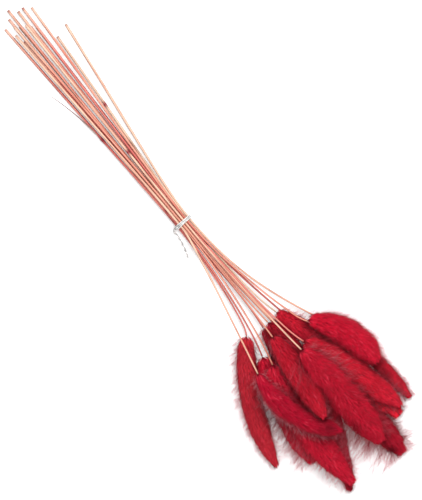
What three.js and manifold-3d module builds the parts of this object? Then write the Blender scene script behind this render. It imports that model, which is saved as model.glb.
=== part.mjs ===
// A tied bunch of dried, dyed bunny tail grass, lying on its side. Sizes are in millimetres.
// The bunch is laid out with its tie at X = 0: X runs from the cut ends to the heads, Y runs
// across the bunch, and Z is up from the surface that it lies on. At the end the whole bunch
// is moved so that its origin is the middle of its footprint, at the level of that surface.

import * as THREE from 'three';
import { mergeVertices } from 'three/addons/utils/BufferGeometryUtils.js';
import Module from 'manifold-3d';

const wasm = await Module();
wasm.setup();

// Stems
const cutEndRadius = 0.95;
const tieStemRadius = 0.8;
const neckRadius = 0.55;
const stemSides = 6;
const jointSwelling = 1.3;
const jointHalfLength = 1.6;
const fullWidthX = -190;
const lowerSteps = [0, 0.3, 0.62, 0.86, 1];
const upperSteps = [0, 0.2, 0.4, 0.6, 0.78, 0.9, 1];

// The dry leaf sheath that peels off one stem: its path from the joint, and its half widths
const sheathPath = [[0, 0, 0], [-14, -1.2, 0.2], [-30, -3.2, 1.2], [-46, -8, 2.6]];
const sheathRootRadius = 0.6;
const sheathEndRadius = 0.4;
const sheathSteps = 4;
const sheathSides = 4;

// The tie, and the places that the stems take in it, row upon row
const stemPitch = 2.0;
const rowPitch = 2.0;
const bottomRowHeight = 5.4;
const rowSizes = [6, 5, 4];
const tieWidth = 4.2;
const tieThickness = 0.7;
const tieClearance = 0.3;
const tieSteps = 32;
const tailWidth = 1.7;
const tailThickness = 0.8;
const tailTurns = 3;
const tailSteps = 24;
const tailPoints = [[0, 0, 0], [2.3, -1.6, -0.6], [7.7, -1.9, -1.8], [14, -3.2, -3], [22, -6, -4.2]];
const knotRadius = 1.5;
const knotStretch = [1.3, 0.9, 1.1];
const knotAngle = Math.PI * 1.02;
const knotSunk = 0.6;

// How the stems spread on both sides of the tie, and how they bend towards their heads
const cutRowRise = 2.8;
const tieStraight = 3;
const longestNeck = 30;
const neckSideways = 5;
const leastTurn = 0.01;
const tieHandle = 0.3;
const cutHandle = 25;
const cutStraight = 0.4;
const searchSteps = 30;

// Heads: pointed tufts of hair that lie forward over a slim body
const tuftSides = 15;
const tuftRowSpacing = 4.3;
const tuftHeight = 2.9;
const tuftLean = 1.7;
const tuftsFromBase = 0.16;
const headNeckRadius = 1.25;
const headTipRadius = 0.9;
const widestAt = 0.27;
const baseRounding = 0.55;
const baseFullness = 3;
const tipRounding = 0.62;
const tipFullness = 4;
const leastTuft = 0.45;
const leastLean = 0.75;
const leanSpread = 0.4;
const fullTuftsFrom = 0.7;
const beforeBase = -0.03;
const leastToTip = 0.2;
const tuftSway = 0.5;
const firstRowsCloser = 0.25;
const headFlatness = 0.8;
const headStemGap = 0.3;

// The space above the surface, as a block that holds all the heads
const blockSize = [600, 300, 200];
const blockX = 100;

// Settling the heap of heads: balls stand for the heads and stems while they sink. The heads
// press each other flatter, so heights are worked out for round heads and then scaled down.
const touchGap = 0.4;
const pressedFlat = 0.7;
const pressedFrom = 6;
const headBalls = 11;
const stemBalls = 16;
const startSpacing = 16;
const sinkSteps = 700;
const sinkStep = 0.4;
const restSteps = 120;
const sidewaysReturn = 0.6;
const largestPush = 0.6;
const leastSway = 0.05;
const steepestSlope = 0.4;

// Every grass, from the lowest to the topmost: base and tip of the head in plan, how far the
// head turns on the way (degrees, positive to the left), its radius, where its stem is cut in
// plan, and its row and place in the tie. Some give where the stem has a joint, where the head is
// widest, or what share of its reach the stem keeps the heading that it has in the tie.
const grasses = [
  {
    base: [144, 4], tip: [220, -32], turn: -4, radius: 7.0,
    cut: [-178, -1], row: 0, place: 2,
  },
  {
    base: [158, 14], tip: [223, 18], turn: -6, radius: 7.0,
    cut: [-173, 5], row: 0, place: 3,
  },
  {
    base: [140, 19], tip: [201, 27], turn: -6, radius: 7.2,
    cut: [-170, 8], row: 0, place: 4,
  },
  {
    base: [142, 40], tip: [196, 44], turn: -8, radius: 5.6,
    cut: [-159, 25], row: 0, place: 5, handle: 0.5,
  },
  {
    base: [90, -15], tip: [174, -58], turn: 34, radius: 7.6,
    cut: [-183, -10], row: 0, place: 0, joint: -80, sheath: true,
  },
  {
    base: [93, -6], tip: [164, -14], turn: 0.5, radius: 5.8, widest: 0.5,
    cut: [-187, -3.6], row: 0, place: 1,
  },
  {
    base: [108, -14], tip: [188, -36], turn: 8, radius: 7.8,
    cut: [-168, -5], row: 1, place: 0, joint: -13,
  },
  {
    base: [92, 3], tip: [156, 0], turn: -10, radius: 5.6,
    cut: [-187, 5], row: 1, place: 2,
  },
  {
    base: [117, -15], tip: [217, -24], turn: 22, radius: 7.8,
    cut: [-192, 0], row: 1, place: 1,
  },
  {
    base: [90, 9], tip: [146, 26], turn: 4, radius: 6.2,
    cut: [-156, 15], row: 1, place: 4, joint: -98,
  },
  {
    base: [118, 12], tip: [196, 36], turn: -6, radius: 8.2,
    cut: [-187, 9], row: 1, place: 3, joint: -13,
  },
  {
    base: [115, -26], tip: [182, -5], turn: 60, radius: 7.4, widest: 0.5,
    cut: [-175, -7], row: 2, place: 0, handle: 0.1,
  },
  {
    base: [121, 6], tip: [207, 9], turn: -8, radius: 8.2, widest: 0.45,
    cut: [-176, 3], row: 2, place: 2, joint: -62,
  },
  {
    base: [109, 21], tip: [162, 38], turn: -64, radius: 10.2, widest: 0.56,
    cut: [-183, 14], row: 2, place: 3,
  },
  {
    base: [102, -4], tip: [168, -12], turn: -8, radius: 8.0, widest: 0.36,
    cut: [-180, -4], row: 2, place: 1,
  },
];

const stemMaterials = [0xe3a184, 0xd97f6e, 0xc9585a, 0xe6b793].map(
  (color) => new THREE.MeshStandardMaterial({ color, roughness: 0.62, metalness: 0 }),
);
const headMaterial = new THREE.MeshStandardMaterial({ color: 0xb41029, roughness: 0.95, metalness: 0 });
const tieMaterial = new THREE.MeshStandardMaterial({ color: 0xf2f0ee, roughness: 0.45, metalness: 0 });

// A repeatable run of numbers from 0 to 1
function makeRandom(seed) {
  let state = seed;
  return () => {
    state = (state * 1664525 + 1013904223) % 4294967296;
    return state / 4294967296;
  };
}

// A closed surface through rings of equally many points, either capped or joined end to end
function loft(rings, joined = false) {
  const sides = rings[0].length;
  const positions = rings.flat().flatMap((point) => [point.x, point.y, point.z]);
  const index = [];
  const spans = joined ? rings.length : rings.length - 1;
  for (let j = 0; j < spans; j += 1) {
    const here = j * sides;
    const next = ((j + 1) % rings.length) * sides;
    for (let i = 0; i < sides; i += 1) {
      const k = (i + 1) % sides;
      index.push(here + i, here + k, next + i);
      index.push(here + k, next + k, next + i);
    }
  }
  if (!joined) {
    const caps = [rings[0], rings[rings.length - 1]];
    const middles = caps.map((ring) => ring.reduce(
      (sum, point) => sum.addScaledVector(point, 1 / sides),
      new THREE.Vector3(),
    ));
    const first = positions.length / 3;
    middles.forEach((point) => positions.push(point.x, point.y, point.z));
    const last = (rings.length - 1) * sides;
    for (let i = 0; i < sides; i += 1) {
      const k = (i + 1) % sides;
      index.push(first, k, i);
      index.push(first + 1, last + i, last + k);
    }
  }
  const geometry = new THREE.BufferGeometry();
  geometry.setAttribute('position', new THREE.Float32BufferAttribute(positions, 3));
  geometry.setIndex(index);
  return geometry;
}

function toManifold(geometry) {
  return new wasm.Manifold(new wasm.Mesh({
    numProp: 3,
    vertProperties: new Float32Array(geometry.attributes.position.array),
    triVerts: new Uint32Array(geometry.index.array),
  }));
}

function fromManifold(manifold) {
  const mesh = manifold.getMesh();
  const geometry = new THREE.BufferGeometry();
  geometry.setAttribute('position', new THREE.BufferAttribute(new Float32Array(mesh.vertProperties), 3));
  geometry.setIndex(new THREE.BufferAttribute(new Uint32Array(mesh.triVerts), 1));
  return geometry;
}

// Two directions square to a heading: one level and to the left of it, and one above it
function squareTo(heading) {
  const left = new THREE.Vector3(0, 0, 1).cross(heading).normalize();
  return { left, above: heading.clone().cross(left).normalize() };
}

function ringAround(centre, heading, radius, sides) {
  const { left, above } = squareTo(heading);
  return Array.from({ length: sides }, (_, i) => {
    const angle = (i / sides) * Math.PI * 2;
    return centre.clone()
      .addScaledVector(left, Math.cos(angle) * radius)
      .addScaledVector(above, Math.sin(angle) * radius);
  });
}

// The place of a stem in the tie
function tiePlace(row, place) {
  const y = (place - (rowSizes[row] - 1) / 2) * stemPitch;
  const z = bottomRowHeight + row * rowPitch;
  return new THREE.Vector3(0, y, z);
}

// The plan of a head: an arc from base to tip that turns by the grass's own angle
function headPlan(grass) {
  const [bx, by] = grass.base;
  const [tx, ty] = grass.tip;
  const chord = Math.hypot(tx - bx, ty - by);
  const turn = THREE.MathUtils.degToRad(grass.turn);
  const start = Math.atan2(ty - by, tx - bx) - turn / 2;
  const length = (chord * (turn / 2)) / Math.sin(turn / 2);
  const radius = length / turn;
  const pointAt = (s) => [
    bx + radius * (Math.sin(start + s / radius) - Math.sin(start)),
    by - radius * (Math.cos(start + s / radius) - Math.cos(start)),
  ];
  return { length, start, pointAt, headingAt: (s) => start + s / radius };
}

// How full a head is along its length, from 0 at base to 1 at tip
function fullness(t, widest) {
  if (t < widest) {
    return (1 - (1 - t / widest) ** baseFullness) ** baseRounding;
  }
  return (1 - ((t - widest) / (1 - widest)) ** tipFullness) ** tipRounding;
}

function headRadius(grass, t) {
  const ends = THREE.MathUtils.lerp(headNeckRadius, headTipRadius, t);
  return Math.max(ends, grass.radius * fullness(t, grass.widest ?? widestAt));
}

// The stem beyond the tie is a cubic curve in plan. Its height follows the same curve, from
// its place in the tie to the head's base, and arrives with the slope of the head.
function cubicWeights(u) {
  const v = 1 - u;
  return [v ** 3, 3 * v * v * u, 3 * v * u * u, u ** 3];
}

// The length over which a stem bends into the heading of its head: short where it turns a lot
function neckLength(grass) {
  const place = tiePlace(grass.row, grass.place);
  const straight = Math.atan2(grass.base[1] - place.y, grass.base[0]);
  const turn = Math.abs(Math.sin(headPlan(grass).start - straight));
  return Math.min(longestNeck, neckSideways / Math.max(turn, leastTurn));
}

function upperStemCurve(grass) {
  const place = tiePlace(grass.row, grass.place);
  const plan = headPlan(grass);
  const reach = Math.hypot(grass.base[0], grass.base[1] - place.y);
  const slope = (grass.tipHeight - grass.baseHeight) / plan.length;
  const heading = new THREE.Vector3(Math.cos(plan.start), Math.sin(plan.start), slope);
  const base = new THREE.Vector3(grass.base[0], grass.base[1], grass.baseHeight);
  const from = place.clone().setX(tieStraight);
  return new THREE.CubicBezierCurve3(
    from,
    from.clone().setX(tieStraight + reach * (grass.handle ?? tieHandle)),
    base.clone().addScaledVector(heading, -neckLength(grass)),
    base,
  );
}

function lowerStemCurve(grass) {
  const place = tiePlace(grass.row, grass.place);
  const cutPlace = new THREE.Vector3(
    grass.cut[0],
    grass.cut[1],
    cutEndRadius * Math.cos(Math.PI / stemSides) + grass.row * cutRowRise,
  );
  const tieEnd = place.clone().setX(-tieStraight);
  const aim = tieEnd.clone().sub(cutPlace);
  return new THREE.CubicBezierCurve3(
    cutPlace,
    cutPlace.clone().addScaledVector(aim, cutStraight),
    tieEnd.clone().setX(-tieStraight - cutHandle),
    tieEnd,
  );
}

function stemRadiusAt(x, baseX) {
  if (x < 0) {
    return THREE.MathUtils.mapLinear(x, fullWidthX, 0, cutEndRadius, tieStemRadius);
  }
  return THREE.MathUtils.mapLinear(x, 0, baseX, tieStemRadius, neckRadius);
}

// Balls along one grass. Each moves with the base and the tip of the head, by its own share
// of both, so that a stem bends as its head moves and stays where it is in the tie.
function makeBalls(grass) {
  const plan = headPlan(grass);
  const head = Array.from({ length: headBalls }, (_, i) => {
    const t = i / (headBalls - 1);
    const [x, y] = plan.pointAt(t * plan.length);
    return { x, y, z: 0, withBase: 1 - t, withTip: t, radius: headRadius(grass, t), inHead: true };
  });
  const place = tiePlace(grass.row, grass.place);
  const neck = neckLength(grass);
  const curve = upperStemCurve({ ...grass, baseHeight: 0, tipHeight: 0 });
  const stem = Array.from({ length: stemBalls }, (_, i) => {
    const u = (i + 1) / (stemBalls + 1);
    const point = curve.getPoint(u);
    const weights = cubicWeights(u);
    const tilt = (weights[2] * neck) / plan.length;
    const carried = weights[2] + weights[3];
    const radius = stemRadiusAt(point.x, grass.base[0]) / headFlatness;
    const z = (place.z / headFlatness) * (1 - carried);
    return { x: point.x, y: point.y, z, withBase: carried + tilt, withTip: -tilt, radius, inHead: false };
  });
  return [...head, ...stem];
}

function moveBall(ball, state, sideways, up) {
  state.baseY += ball.withBase * sideways;
  state.tipY += ball.withTip * sideways;
  state.baseZ += ball.withBase * up;
  state.tipZ += ball.withTip * up;
}

// Pushes two balls apart, across the bunch and up or down, if they are too close
function separate(a, stateA, b, stateB) {
  const apart = a.radius + b.radius + touchGap;
  const dx = b.x - a.x;
  if (Math.abs(dx) >= apart) {
    return;
  }
  const dy = b.y + b.withBase * stateB.baseY + b.withTip * stateB.tipY
    - a.y - a.withBase * stateA.baseY - a.withTip * stateA.tipY;
  const dz = b.z + b.withBase * stateB.baseZ + b.withTip * stateB.tipZ
    - a.z - a.withBase * stateA.baseZ - a.withTip * stateA.tipZ;
  const distance = Math.hypot(dx, dy, dz);
  const share = a.withBase ** 2 + a.withTip ** 2 + b.withBase ** 2 + b.withTip ** 2;
  const across = (dy * dy + dz * dz) / (distance * distance);
  if (distance >= apart || share < leastSway || across < leastSway) {
    return;
  }
  const push = Math.min((apart - distance) / (share * across), largestPush) / distance;
  moveBall(a, stateA, -dy * push, -dz * push);
  moveBall(b, stateB, dy * push, dz * push);
}

// Lets the heads sink from well above each other, in their order, until they lie on the
// surface and on one another, and returns each grass with its resting place.
function settle(all) {
  const balls = all.map(makeBalls);
  const states = all.map((_, i) => {
    const height = startSpacing * (i + 1);
    return { baseY: 0, tipY: 0, baseZ: height, tipZ: height };
  });
  const lengths = all.map((grass) => headPlan(grass).length);
  for (let step = 0; step < sinkSteps + restSteps; step += 1) {
    states.forEach((state, i) => {
      if (step < sinkSteps) {
        state.baseZ -= sinkStep;
        state.tipZ -= sinkStep;
        state.baseY *= 1 - sidewaysReturn;
        state.tipY *= 1 - sidewaysReturn;
      }
      balls[i].filter((ball) => ball.inHead).forEach((ball) => {
        const height = ball.withBase * state.baseZ + ball.withTip * state.tipZ;
        const least = ball.radius - pressedFlat * Math.min(1, ball.radius / pressedFrom);
        if (height < least) {
          const share = ball.withBase ** 2 + ball.withTip ** 2;
          moveBall(ball, state, 0, (least - height) / share);
        }
      });
      const rise = state.tipZ - state.baseZ;
      const most = steepestSlope * lengths[i];
      const excess = rise - THREE.MathUtils.clamp(rise, -most, most);
      state.tipZ -= excess / 2;
      state.baseZ += excess / 2;
    });
    for (let i = 0; i < all.length; i += 1) {
      for (let j = i + 1; j < all.length; j += 1) {
        balls[i].forEach((a) => balls[j].forEach((b) => separate(a, states[i], b, states[j])));
      }
    }
  }
  return all.map((grass, i) => {
    const { baseY, tipY, baseZ, tipZ } = states[i];
    const moved = {
      ...grass,
      base: [grass.base[0], grass.base[1] + baseY],
      tip: [grass.tip[0], grass.tip[1] + tipY],
      baseHeight: baseZ * headFlatness,
      tipHeight: tipZ * headFlatness,
    };
    const plan = headPlan(moved);
    const slope = (moved.tipHeight - moved.baseHeight) / plan.length;
    return { ...moved, plan, slope, curve: upperStemCurve(moved) };
  });
}

function headAxis(grass, s) {
  const [x, y] = grass.plan.pointAt(s);
  const angle = grass.plan.headingAt(s);
  const heading = new THREE.Vector3(Math.cos(angle), Math.sin(angle), grass.slope).normalize();
  return { centre: new THREE.Vector3(x, y, grass.baseHeight + grass.slope * s), heading };
}

// One head: rows of pointed tufts, each row half a step round from the last. Every third
// point of the net is a tuft's tip. It stands out of the body and leans towards the head's tip.
function makeHead(grass, seed) {
  const random = makeRandom(seed);
  const length = grass.plan.length;
  const rows = Math.round(length / tuftRowSpacing);
  const rings = [];
  for (let j = 0; j <= rows; j += 1) {
    const step = j / rows;
    const t = (1 - firstRowsCloser) * step + firstRowsCloser * step * step;
    const outer = headRadius(grass, t);
    const full = Math.min(
      THREE.MathUtils.smoothstep(t, beforeBase, tuftsFromBase),
      THREE.MathUtils.smoothstep(outer, headTipRadius, grass.radius * fullTuftsFrom),
    );
    const height = j === rows || j === 0 ? 0 : tuftHeight * full;
    rings.push(Array.from({ length: tuftSides }, (_, i) => {
      const isTip = (((i - j) % 3) + 3) % 3 === 0;
      const stand = isTip ? height * (leastTuft + (1 - leastTuft) * random()) : 0;
      const forward = isTip ? leastLean + leanSpread * random() : 0;
      const lean = tuftLean * height * forward * (1 - t * t);
      const sway = isTip && height > 0 ? tuftSway * (random() - 0.5) : 0;
      const radius = outer - height + stand;
      const { centre, heading } = headAxis(grass, Math.min(t * length + lean, length - leastToTip));
      const { left, above } = squareTo(heading);
      const angle = ((i + j / 2 + sway) / tuftSides) * Math.PI * 2;
      return centre
        .addScaledVector(left, Math.cos(angle) * radius)
        .addScaledVector(above, Math.sin(angle) * radius * headFlatness);
    }));
  }
  return loft(rings);
}

// What would reach below the surface is cut off flat, as hair that the bunch presses down
function pressOnSurface(geometry) {
  geometry.computeBoundingBox();
  if (geometry.boundingBox.min.z >= 0) {
    return geometry;
  }
  const block = mergeVertices(new THREE.BoxGeometry(...blockSize)
    .translate(blockX, 0, blockSize[2] / 2)
    .deleteAttribute('normal')
    .deleteAttribute('uv'));
  return fromManifold(toManifold(geometry).intersect(toManifold(block)));
}

// The rings of a stem from its cut end through the tie to the head, with its joint
function stemStations(grass) {
  const lower = lowerStemCurve(grass);
  const stations = lowerSteps.map((u) => ({ curve: lower, u, swell: 1 }));
  if (grass.joint) {
    const middle = closestU(lower, grass.joint);
    const half = jointHalfLength / lower.getLength();
    stations.push({ curve: lower, u: middle - half, swell: 1 });
    stations.push({ curve: lower, u: middle, swell: jointSwelling });
    stations.push({ curve: lower, u: middle + half, swell: 1 });
    stations.sort((a, b) => a.u - b.u);
  }
  const upper = upperSteps.map((u) => ({ curve: grass.curve, u, swell: 1 }));
  return [...stations, ...upper];
}

// Where along a stem's lower curve it passes a given X
function closestU(curve, x) {
  let low = 0;
  let high = 1;
  for (let i = 0; i < searchSteps; i += 1) {
    const middle = (low + high) / 2;
    if (curve.getPoint(middle).x < x) {
      low = middle;
    } else {
      high = middle;
    }
  }
  return (low + high) / 2;
}

function makeStem(grass) {
  const rings = stemStations(grass).map(({ curve, u, swell }) => {
    const centre = curve.getPoint(u);
    const heading = curve.getTangent(u);
    if (curve === grass.curve && u === 1) {
      centre.addScaledVector(heading, -headStemGap);
    }
    return ringAround(centre, heading, stemRadiusAt(centre.x, grass.base[0]) * swell, stemSides);
  });
  const stem = loft(rings);
  if (!grass.sheath) {
    return stem;
  }
  return fromManifold(toManifold(stem).add(toManifold(makeSheath(grass))));
}

// A narrow strip of dry leaf sheath that has come away from the stem on the cut side of its joint
function makeSheath(grass) {
  const lower = lowerStemCurve(grass);
  const root = lower.getPoint(closestU(lower, grass.joint));
  const points = sheathPath.map((step) => root.clone().add(new THREE.Vector3(...step)));
  const strip = new THREE.CubicBezierCurve3(...points);
  return loft(Array.from({ length: sheathSteps + 1 }, (_, i) => {
    const u = i / sheathSteps;
    const radius = THREE.MathUtils.lerp(sheathRootRadius, sheathEndRadius, u);
    return ringAround(strip.getPoint(u), strip.getTangent(u), radius, sheathSides);
  }));
}

// The tie follows the outermost stems: in each direction, its distance is set by the stem
// whose place in the tie lies farthest that way.
function tiePoint(angle, distance) {
  const outward = new THREE.Vector3(0, Math.cos(angle), Math.sin(angle));
  const places = rowSizes.flatMap((size, row) => Array.from({ length: size }, (_, i) => tiePlace(row, i)));
  const farthest = places.reduce((a, b) => (a.dot(outward) >= b.dot(outward) ? a : b));
  return farthest.clone().addScaledVector(outward, distance);
}

function makeTie() {
  const inner = tieStemRadius + tieClearance;
  const band = loft(Array.from({ length: tieSteps }, (_, i) => {
    const angle = (i / tieSteps) * Math.PI * 2;
    const near = tiePoint(angle, inner);
    const far = tiePoint(angle, inner + tieThickness);
    return [
      near.clone().setX(tieWidth / 2),
      far.clone().setX(tieWidth / 2),
      far.clone().setX(-tieWidth / 2),
      near.clone().setX(-tieWidth / 2),
    ];
  }), true);
  const knotCentre = tiePoint(knotAngle, inner + tieThickness / 2 + knotRadius * knotSunk);
  const knot = mergeVertices(new THREE.IcosahedronGeometry(knotRadius, 1)
    .scale(...knotStretch)
    .translate(knotCentre.x, knotCentre.y, knotCentre.z)
    .deleteAttribute('normal')
    .deleteAttribute('uv'));
  const tailPath = new THREE.CatmullRomCurve3(
    tailPoints.map((step) => knotCentre.clone().add(new THREE.Vector3(...step))),
  );
  const tail = loft(Array.from({ length: tailSteps + 1 }, (_, i) => {
    const u = i / tailSteps;
    const { left, above } = squareTo(tailPath.getTangent(u));
    const angle = u * tailTurns * Math.PI * 2;
    const wide = left.clone().multiplyScalar(Math.cos(angle)).addScaledVector(above, Math.sin(angle));
    const thin = above.clone().multiplyScalar(Math.cos(angle)).addScaledVector(left, -Math.sin(angle));
    return [[1, 1], [-1, 1], [-1, -1], [1, -1]].map(([a, b]) => tailPath.getPoint(u)
      .addScaledVector(wide, (a * tailWidth) / 2)
      .addScaledVector(thin, (b * tailThickness) / 2));
  }));
  return fromManifold(toManifold(band).add(toManifold(knot)).add(toManifold(tail)));
}

function namedMesh(name, geometry, material) {
  geometry.computeVertexNormals();
  const mesh = new THREE.Mesh(geometry, material);
  mesh.name = name;
  return mesh;
}

const bunch = new THREE.Group();
settle(grasses).forEach((grass, i) => {
  const number = String(i + 1).padStart(2, '0');
  const stemMaterial = stemMaterials[i % stemMaterials.length].clone();
  bunch.add(namedMesh(`stem_${number}`, makeStem(grass), stemMaterial));
  bunch.add(namedMesh(`head_${number}`, pressOnSurface(makeHead(grass, i + 1)), headMaterial.clone()));
});
bunch.add(namedMesh('tie', makeTie(), tieMaterial));

// The origin is the middle of the footprint, on the surface
const box = new THREE.Box3().setFromObject(bunch);
bunch.position.set(-(box.min.x + box.max.x) / 2, -(box.min.y + box.max.y) / 2, -box.min.z);

const part = new THREE.Group();
part.add(bunch);

export default part;
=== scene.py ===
import math

import bpy
import numpy as np
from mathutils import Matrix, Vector


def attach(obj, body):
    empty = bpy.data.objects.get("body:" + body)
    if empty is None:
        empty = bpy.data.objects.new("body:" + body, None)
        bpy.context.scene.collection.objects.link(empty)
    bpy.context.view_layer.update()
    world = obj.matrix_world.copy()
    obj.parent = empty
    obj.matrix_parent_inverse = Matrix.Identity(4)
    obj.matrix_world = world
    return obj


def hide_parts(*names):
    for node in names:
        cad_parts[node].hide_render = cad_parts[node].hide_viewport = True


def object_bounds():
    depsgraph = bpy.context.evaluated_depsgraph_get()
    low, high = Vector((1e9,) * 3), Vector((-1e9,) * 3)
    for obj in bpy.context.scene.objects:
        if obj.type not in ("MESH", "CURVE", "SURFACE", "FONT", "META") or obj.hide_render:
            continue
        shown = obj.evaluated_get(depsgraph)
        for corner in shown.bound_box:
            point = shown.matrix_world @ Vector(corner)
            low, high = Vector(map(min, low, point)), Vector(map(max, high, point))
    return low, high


# A tied bunch of dyed, dried bunny tail grass. Everything is in metres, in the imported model's frame:
# X runs from the cut ends to the heads, Z is up, and the bunch lies on Z = 0.
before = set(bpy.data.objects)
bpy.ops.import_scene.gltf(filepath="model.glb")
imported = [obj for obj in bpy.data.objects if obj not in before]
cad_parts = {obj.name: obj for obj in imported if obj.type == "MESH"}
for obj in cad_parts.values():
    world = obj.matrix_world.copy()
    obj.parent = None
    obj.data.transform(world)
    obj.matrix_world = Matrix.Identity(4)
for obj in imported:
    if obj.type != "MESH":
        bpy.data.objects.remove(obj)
cadLow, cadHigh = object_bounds()

mm = 0.001
count = 15  # stems, and as many heads
numbers = [f"{i + 1:02d}" for i in range(count)]
print("frame loaded")


# Reading the frame: where each stem and head runs

stemRings = {
    "apart": 0.8 * mm,  # corners further apart than this along the bunch are in different rings
    "corners": 6,
    "leastRadius": 0.3 * mm,  # the middle point of a stem's end lies nearer to its axis than this
    "even": 0.1 * mm,  # how far the corners of one ring may differ in radius
}


def nodePoints(node):
    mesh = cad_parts[node].data
    flat = np.empty(len(mesh.vertices) * 3, np.float32)
    mesh.vertices.foreach_get("co", flat)
    return np.unique(flat.reshape(-1, 3).astype(float).round(6), axis=0)


def unit(vectors):
    return vectors / np.linalg.norm(vectors, axis=-1, keepdims=True)


def ringsOf(points):
    points = points[np.argsort(points[:, 0])]
    breaks = np.nonzero(np.diff(points[:, 0]) > stemRings["apart"])[0] + 1
    return np.split(points, breaks)  # one set of corners for each ring of a stem


def readStem(node):
    centres, radii = [], []
    for corners in ringsOf(nodePoints(node)):
        centre = corners.mean(0)
        spans = np.linalg.norm(corners - centre, axis=1)
        rim = spans[spans > stemRings["leastRadius"]]
        if len(rim) == stemRings["corners"] and np.ptp(rim) < stemRings["even"]:
            centres.append(centre)
            radii.append(rim.mean())
    return np.array(centres), np.array(radii)


def splineThrough(knots, values, at):
    # A natural cubic spline through the values, read at other places
    step = np.diff(knots)
    size = len(knots)
    matrix = np.eye(size)
    right = np.zeros((size, values.shape[1]))
    slope = np.diff(values, axis=0) / step[:, None]
    for i in range(1, size - 1):
        matrix[i, i - 1:i + 2] = step[i - 1], 2 * (step[i - 1] + step[i]), step[i]
        right[i] = 6 * (slope[i] - slope[i - 1])
    bend = np.linalg.solve(matrix, right)
    i = np.clip(np.searchsorted(knots, at, "right") - 1, 0, size - 2)
    w = (at - knots[i])[:, None]
    h = step[i][:, None]
    first = slope[i] - h * (2 * bend[i] + bend[i + 1]) / 6
    return values[i] + w * (first + w * (bend[i] / 2 + w * (bend[i + 1] - bend[i]) / (6 * h)))


def lengthsAlong(points):
    return np.concatenate([[0], np.cumsum(np.linalg.norm(np.diff(points, axis=0), axis=1))])


def squareTo(heading):
    # The ways to the left of a heading and up from it
    left = unit(np.cross([0, 0, 1], heading))
    return left, np.cross(heading, left)


# Each head's own shape, dye and painted light: how many times as wide as its solid the fur is, the
# radius of the blunt brush that it ends in (mm), how bright it is (partly its dye, partly painted
# light and shade for how lit the head lies), how far it leans to orange, how dull it is, how long
# its loose hairs are, and how much longer they are on its left (+) or its right (-)
lookKeys = ("wider", "brush", "bright", "orange", "dull", "fringe", "leftward")
headLooks = {
    "01": (1.12, 2.4, 0.84, 0.0, 0.0, 0.4, 0.2),
    "02": (1.5, 3.2, 1.08, 0.0, 0.0, 1.8, -0.4),
    "03": (1.5, 3.4, 2.5, 0.1, 0.0, 1.2, -0.2),
    "04": (1.0, 2.6, 1.4, 0.1, 0.0, 0.75, 0.0),
    "05": (1.12, 2.2, 1.24, 0.15, 0.05, 1.0, -0.3),
    "06": (1.25, 2.2, 1.0, 0.0, 0.0, 0.7, 0.0),
    "07": (1.27, 2.6, 1.48, 0.0, 0.0, 1.6, -0.35),
    "08": (1.6, 2.2, 1.0, 0.1, 0.0, 0.7, 0.0),
    "09": (1.54, 2.6, 1.24, 0.0, 0.0, 1.2, -0.2),
    "10": (1.26, 2.4, 1.38, 0.1, 0.0, 0.7, 0.0),
    "11": (1.24, 2.6, 1.38, 0.1, 0.0, 1.1, 0.2),
    "12": (1.1, 1.8, 1.08, -0.1, 0.0, 0.55, 0.0),
    "13": (1.5, 3.2, 1.2, 0.0, 0.0, 2.1, -0.5),
    "14": (1.12, 4.0, 1.42, 0.0, 0.0, 0.9, 0.1),
    "15": (1.14, 2.4, 1.2, 0.1, 0.0, 0.5, 0.0),
}
headShape = {
    "samples": 90,
    "stations": 22,
    "window": 0.9,  # a station reads the corners within this many steps of it
    "leastCorners": 15,  # or its nearest ones, where those are fewer
    "envelope": 88,  # percent of the solid's corners that lie inside the head's outline
    "flatness": 0.8,  # the solid's height beside its width
    "baseRadius": 1.6 * mm,
    "beyond": 8 * mm,  # how far the axis is drawn on past the tip, for the last hairs
}


def lookOf(n):
    return dict(zip(lookKeys, headLooks[n]))


def headAxis(points, neck):
    # A bent line from the neck through the middle of the solid to its tip
    reach = np.linalg.norm(points - neck, axis=1)
    along = unit(points[reach.argmax()] - neck)
    side, above = squareTo(along)
    x, y, z = np.array([along, side, above]) @ (points - neck).T
    bends = [np.polyfit(x, v, 3) for v in (y, z)]
    at = np.linspace(x.min(), x.max(), headShape["samples"])
    line = neck + np.outer(at, along)
    line += np.outer(np.polyval(bends[0], at), side) + np.outer(np.polyval(bends[1], at), above)
    return line


def readRadii(points, line, left, up, s, places):
    # The radius that takes in most of the solid's corners, at places along its axis
    nearest = ((points[:, None] - line[None]) ** 2).sum(2).argmin(1)
    offset = points - line[nearest]
    across = (offset * left[nearest]).sum(1)
    upward = (offset * up[nearest]).sum(1) / headShape["flatness"]
    away = np.hypot(across, upward)
    radii = []
    for place in places:
        distance = np.abs(s[nearest] - place)
        enough = np.sort(distance)[headShape["leastCorners"] - 1]
        nearby = distance <= max(places[1] * headShape["window"], enough)
        radii.append(np.percentile(away[nearby], headShape["envelope"]))
    return radii


def readHead(n, neck):
    look = lookOf(n)
    brush = look["brush"] * mm
    points = nodePoints(f"head_{n}")
    line = headAxis(points, neck)
    s = lengthsAlong(line)
    left, up = squareTo(unit(np.gradient(line, s, axis=0)))
    places = np.linspace(0, s[-1], headShape["stations"])
    radii = readRadii(points, line, left, up, s, places)
    radii[0] = min(radii[0], headShape["baseRadius"])
    radii = np.maximum(radii, np.where(places > s[-1] / 2, brush, 0))
    end = unit(line[-1] - line[-2])
    return {
        "s": np.append(s, s[-1] + headShape["beyond"]),
        "line": np.vstack([line, line[-1] + end * headShape["beyond"]]),
        "left": np.vstack([left, left[-1]]) * look["wider"],
        "up": np.vstack([up, up[-1]]) * headShape["flatness"],
        "radius": np.append(np.interp(s, places, radii), brush),
        "length": s[-1],
    }


def alongHead(head, key, s):
    return np.stack([np.interp(s, head["s"], head[key][:, k]) for k in range(3)], -1)


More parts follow.
